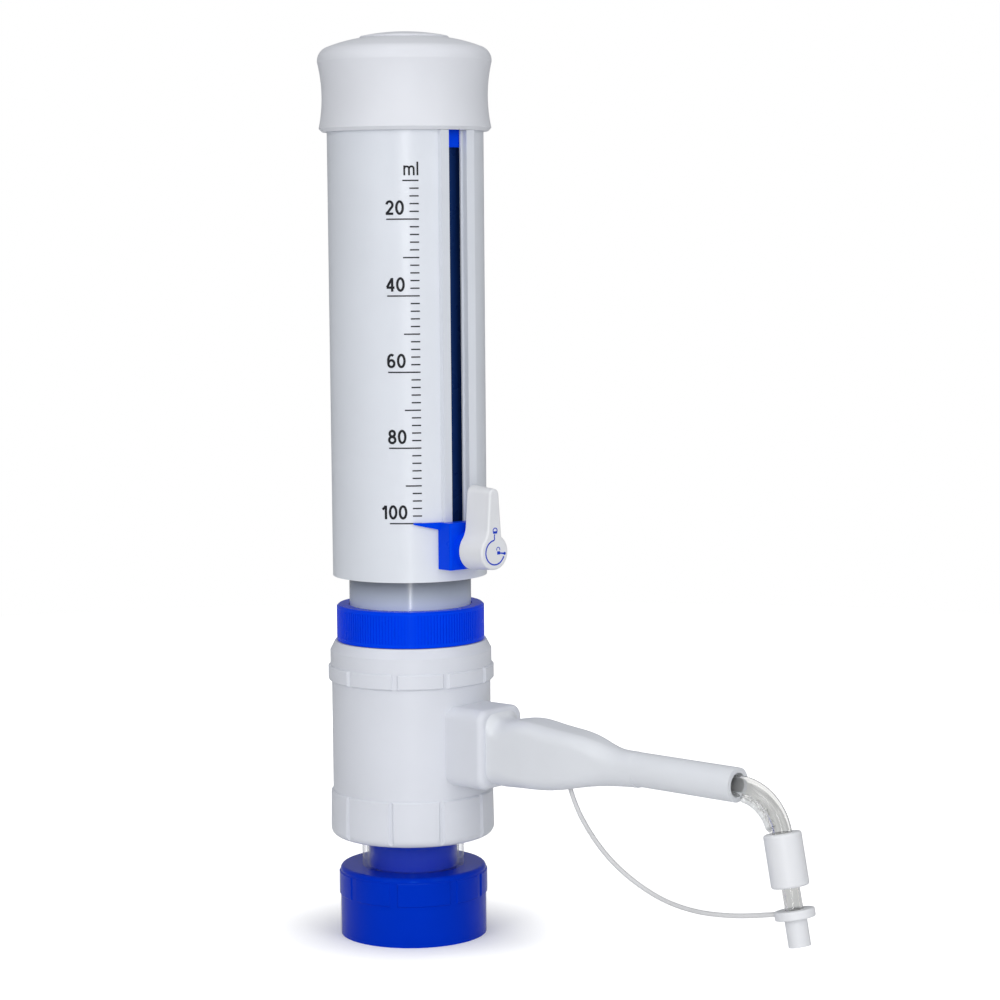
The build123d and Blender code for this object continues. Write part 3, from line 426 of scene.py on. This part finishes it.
def numeral_strokes(digit):
    """Centre lines of a plain bold numeral in a box one wide and one high, and whether each closes."""
    if digit == "0":
        return [(arc_points((0.5, 0.5), 0.37, 0.43, 0, 345, 23), True)]
    if digit == "1":
        return [([(0.62, 0.0), (0.62, 0.98)], False), ([(0.2, 0.7), (0.42, 0.8), (0.6, 0.96)], False)]
    if digit == "2":
        bowl = arc_points((0.5, 0.69), 0.35, 0.24, 170, -35)
        return [(bowl + [(0.16, 0.08)], False), ([(0.05, 0.07), (0.93, 0.07)], False)]
    if digit == "4":
        return [
            ([(0.7, 0.0), (0.7, 0.96)], False),
            ([(0.68, 0.92), (0.1, 0.3)], False),
            ([(0.06, 0.28), (0.97, 0.28)], False),
        ]
    if digit == "6":
        back = arc_points((0.52, 0.55), 0.38, 0.38, 55, 180)
        return [(arc_points((0.5, 0.31), 0.35, 0.24, 0, 345, 23), True), (back + [(0.15, 0.33)], False)]
    return [
        (arc_points((0.5, 0.73), 0.3, 0.2, 0, 345, 23), True),
        (arc_points((0.5, 0.28), 0.36, 0.22, 0, 345, 23), True),
    ]


def on_sleeve(x, height, rise):
    """Plane coordinates in mm, wrapped round the sleeve."""
    return around(sleeve_radius + rise, x / sleeve_radius * 180 / pi, height)


def arc_length(azimuth):
    return radians(azimuth) * sleeve_radius


scale = bmesh.new()
for volume in range(10, 102, 2):
    height = first_mark - (volume - 10) * mark_step
    kind = "major" if volume % 20 == 0 else "medium" if volume % 10 == 0 else "minor"
    low, high = arc_length(tick_left[kind]), arc_length(scale_right)
    steps = ceil((high - low) / 0.7)
    mark = [(low + (high - low) * index / steps, height) for index in range(steps + 1)]
    ink_stroke(scale, mark, tick_thickness, on_sleeve)
    if kind != "major":
        continue
    words = str(volume)
    for place, digit in enumerate(reversed(words)):
        left_edge = arc_length(digit_right) - digit_width - place * (digit_width + digit_space)
        if digit == "1":
            left_edge += 0.55
        for layer, (line, closed) in enumerate(numeral_strokes(digit)):
            foot = height + digit_base
            placed = [(left_edge + x * digit_width, foot + y * digit_height) for x, y in line]
            ink_stroke(scale, placed, digit_thickness, on_sleeve, closed, ink_rise + layer_rise * layer)
ml_base = first_mark + 1.8
ml_right = arc_length(scale_right)
ml_strokes = [
    [(ml_right - 0.35, ml_base), (ml_right - 0.35, ml_base + 4.7)],
    [(ml_right - 4.95, ml_base), (ml_right - 4.95, ml_base + 3.4)],
    [(ml_right - 4.95, ml_base + 2.2)]
    + arc_points((ml_right - 4.1, ml_base + 2.35), 0.8, 0.72, 150, 0)
    + [(ml_right - 3.3, ml_base)],
    [(ml_right - 3.3, ml_base + 2.2)]
    + arc_points((ml_right - 2.45, ml_base + 2.35), 0.8, 0.72, 150, 0)
    + [(ml_right - 1.65, ml_base)],
]
for layer, line in enumerate(ml_strokes):
    ink_stroke(scale, line, 0.62, on_sleeve, rise=ink_rise + layer_rise * layer)
add_piece("scale_print", finished_mesh("scale_print", scale), ink_black, "plunger_unit")

# Lock marks on the lever's face
slot_turn = radians(-8.4)
lever_face = 47.1
lever_height = 145.0


def on_lever(x, y, rise):
    """Plane coordinates in mm from the lever's axis, on its front face."""
    rho = lever_face + rise
    outward = Vector((cos(slot_turn), sin(slot_turn), 0))
    across = Vector((-sin(slot_turn), cos(slot_turn), 0))
    return (outward * rho + across * x + Vector((0, 0, lever_height + y))) * mm


marks = bmesh.new()
lever_lines = [
    (arc_points((0.05, 0.0), 4.35, 4.35, 96, 338, 40), 0.5, False),
    ([(-0.4, 4.3), (-0.15, 4.9), (-0.3, 5.7), (-0.1, 6.5)], 0.42, False),
    (arc_points((0.1, 7.75), 0.95, 0.95, -30, 210, 16), 0.34, False),
    ([(-0.85, 7.15), (1.05, 7.15)], 0.85, False),
    (arc_points((1.5, 0.95), 0.75, 0.85, -20, 200, 14), 0.28, False),
    ([(1.0, -0.25), (2.3, -0.25)], 1.15, False),
    ([(2.2, -0.35), (4.2, -0.6)], 0.5, False),
    (arc_points((4.5, -0.65), 0.3, 0.3, 0, 330, 11), 0.5, True),
]
for layer, (line, thickness, closed) in enumerate(lever_lines):
    ink_stroke(marks, line, thickness, on_lever, closed, 0.05 + 0.005 * layer)
add_piece("lever_marks", finished_mesh("lever_marks", marks), ink_blue, "lever")

# Crumpled strip along the inner side of the tube's bend: its shape follows the clear tube's real wrinkles,
# its white colour is a painted highlight on them
wrinkles = bmesh.new()
bend_centre = Vector((147.51, 0, 55.4))
wrinkle_reach = 12.85
wrinkle_depth, wrinkle_width = 0.95, 1.9
wrinkle_steps = 48
wrinkle_rings = []
for index in range(wrinkle_steps + 1):
    share = index / wrinkle_steps
    turn = radians(1.5 + 74.5 * share)
    lump = 0.55 * sin(share * 24) + 0.25 * sin(share * 57 + 1)
    taper = min(1.0, share * 9 + 0.25, (1 - share) * 9 + 0.25)
    outward = Vector((sin(turn), 0, cos(turn)))
    middle = bend_centre + outward * (wrinkle_reach + 0.5 * lump)
    ring = []
    for corner in range(12):
        spin = corner * pi / 6
        rise = outward * (wrinkle_depth + lump * 0.5) * taper * cos(spin)
        spread = Vector((0, 1, 0)) * (wrinkle_width + 0.4 * lump) * taper * sin(spin)
        ring.append((middle + rise + spread) * mm)
    wrinkle_rings.append(ring)
loft_rings(wrinkles, wrinkle_rings)
add_piece("tube_wrinkle_highlight", finished_mesh("tube_wrinkle_highlight", wrinkles, smooth=True), wrinkle_highlight, "valve_housing")

# Thread inside the bottle nut
thread = bmesh.new()
thread_start, thread_pitch, thread_turns, turn_steps = 1.6, 3.2, 4, 48
thread_rings = []
for index in range(thread_turns * turn_steps + 1):
    turn = index * 2 * pi / turn_steps
    height = thread_start + index / turn_steps * thread_pitch
    ring = []
    for rho, rise in ((22.55, -0.9), (21.6, -0.25), (21.6, 0.25), (22.55, 0.9)):
        ring.append(Vector((rho * cos(turn), rho * sin(turn), height + rise)) * mm)
    thread_rings.append(ring)
loft_rings(thread, thread_rings)
add_piece("nut_thread", finished_mesh("nut_thread", thread), nut_blue, "bottle_adapter")

# Floor and light
floor_data = bpy.data.meshes.new("floor")
floor_build = bmesh.new()
bmesh.ops.create_circle(floor_build, cap_ends=True, segments=96, radius=0.9)
floor_build.to_mesh(floor_data)
floor_build.free()
floor = bpy.data.objects.new("floor", floor_data)
bpy.context.collection.objects.link(floor)
floor_material, floor_tree, floor_shader = new_material("floor_white")
floor_shader.inputs["Base Color"].default_value = (0.85, 0.85, 0.85, 1)
floor_shader.inputs["Roughness"].default_value = 0.9
floor_shader.inputs["Specular IOR Level"].default_value = 0.0
floor_place = floor_tree.nodes.new("ShaderNodeTexCoord")
floor_reach = floor_tree.nodes.new("ShaderNodeVectorMath")
floor_reach.operation = "LENGTH"
floor_tree.links.new(floor_place.outputs["Object"], floor_reach.inputs[0])
# For camera rays the floor glows: far off the glow keeps it plain white, and next to the nut it is weaker,
# a painted shadow round the nut's base on top of the real shadow the lamps cast.
glow_and_painted_shadow = floor_tree.nodes.new("ShaderNodeMath")
for index, (start, stop, low, high) in enumerate(((0.027, 0.06, 0.18, 0.64), (0.06, 0.4, 0.0, 0.36))):
    fade = floor_tree.nodes.new("ShaderNodeMapRange")
    fade.inputs["From Min"].default_value = start
    fade.inputs["From Max"].default_value = stop
    fade.inputs["To Min"].default_value = low
    fade.inputs["To Max"].default_value = high
    floor_tree.links.new(floor_reach.outputs["Value"], fade.inputs["Value"])
    floor_tree.links.new(fade.outputs["Result"], glow_and_painted_shadow.inputs[index])
light_path = floor_tree.nodes.new("ShaderNodeLightPath")
glow_strength = floor_tree.nodes.new("ShaderNodeMath")
glow_strength.operation = "MULTIPLY"
floor_tree.links.new(light_path.outputs["Is Camera Ray"], glow_strength.inputs[0])
floor_tree.links.new(glow_and_painted_shadow.outputs["Value"], glow_strength.inputs[1])
glow = floor_tree.nodes.new("ShaderNodeEmission")
floor_tree.links.new(glow_strength.outputs["Value"], glow.inputs["Strength"])
both = floor_tree.nodes.new("ShaderNodeAddShader")
floor_tree.links.new(floor_shader.outputs["BSDF"], both.inputs[0])
floor_tree.links.new(glow.outputs["Emission"], both.inputs[1])
floor_tree.links.new(both.outputs["Shader"], floor_tree.nodes["Material Output"].inputs["Surface"])
floor_data.materials.append(floor_material)


def area_light(name, azimuth, height, distance, size, power, colour=(1, 1, 1)):
    """Soft box at an azimuth from the camera's own direction, aimed at the object."""
    data = bpy.data.lights.new(name, "AREA")
    data.shape = "RECTANGLE"
    data.size, data.size_y = size
    data.energy = power
    data.color = colour
    light = bpy.data.objects.new(name, data)
    turn = camera_azimuth + radians(azimuth)
    light.location = (distance * cos(turn), distance * sin(turn), height)
    light.rotation_mode = "QUATERNION"
    light.rotation_quaternion = (Vector((0.03, 0, 0.16)) - light.location).to_track_quat("-Z", "Y")
    bpy.context.collection.objects.link(light)


area_light("front", 0, 0.45, 1.4, (0.1, 0.6), 4.5)
area_light("low_front", 0, 0.05, 0.58, (0.025, 0.08), 0.16)
area_light("key", -38, 0.9, 1.5, (0.7, 1.0), 5.5)
area_light("fill", 42, 0.8, 1.5, (0.7, 1.0), 5)
area_light("top", 0, 1.9, 0.3, (1.0, 1.0), 6.5)
world = bpy.data.worlds.new("studio")
bpy.context.scene.world = world
world.use_nodes = True
world_tree = world.node_tree
surroundings = world_tree.nodes["Background"]
surroundings.inputs["Color"].default_value = (0.96, 0.98, 1, 1)
surroundings.inputs["Strength"].default_value = 0.33
plain = world_tree.nodes.new("ShaderNodeBackground")
plain.inputs["Color"].default_value = (1, 1, 1, 1)
plain.inputs["Strength"].default_value = 1.0
world_path = world_tree.nodes.new("ShaderNodeLightPath")
seen = world_tree.nodes.new("ShaderNodeMath")
seen.operation = "MAXIMUM"
world_tree.links.new(world_path.outputs["Is Camera Ray"], seen.inputs[0])
world_tree.links.new(world_path.outputs["Is Transmission Ray"], seen.inputs[1])
mix = world_tree.nodes.new("ShaderNodeMixShader")
world_tree.links.new(seen.outputs["Value"], mix.inputs["Fac"])
world_tree.links.new(surroundings.outputs["Background"], mix.inputs[1])
world_tree.links.new(plain.outputs["Background"], mix.inputs[2])
world_tree.links.new(mix.outputs["Shader"], world_tree.nodes["World Output"].inputs["Surface"])
bpy.context.scene.view_settings.view_transform = "Standard"
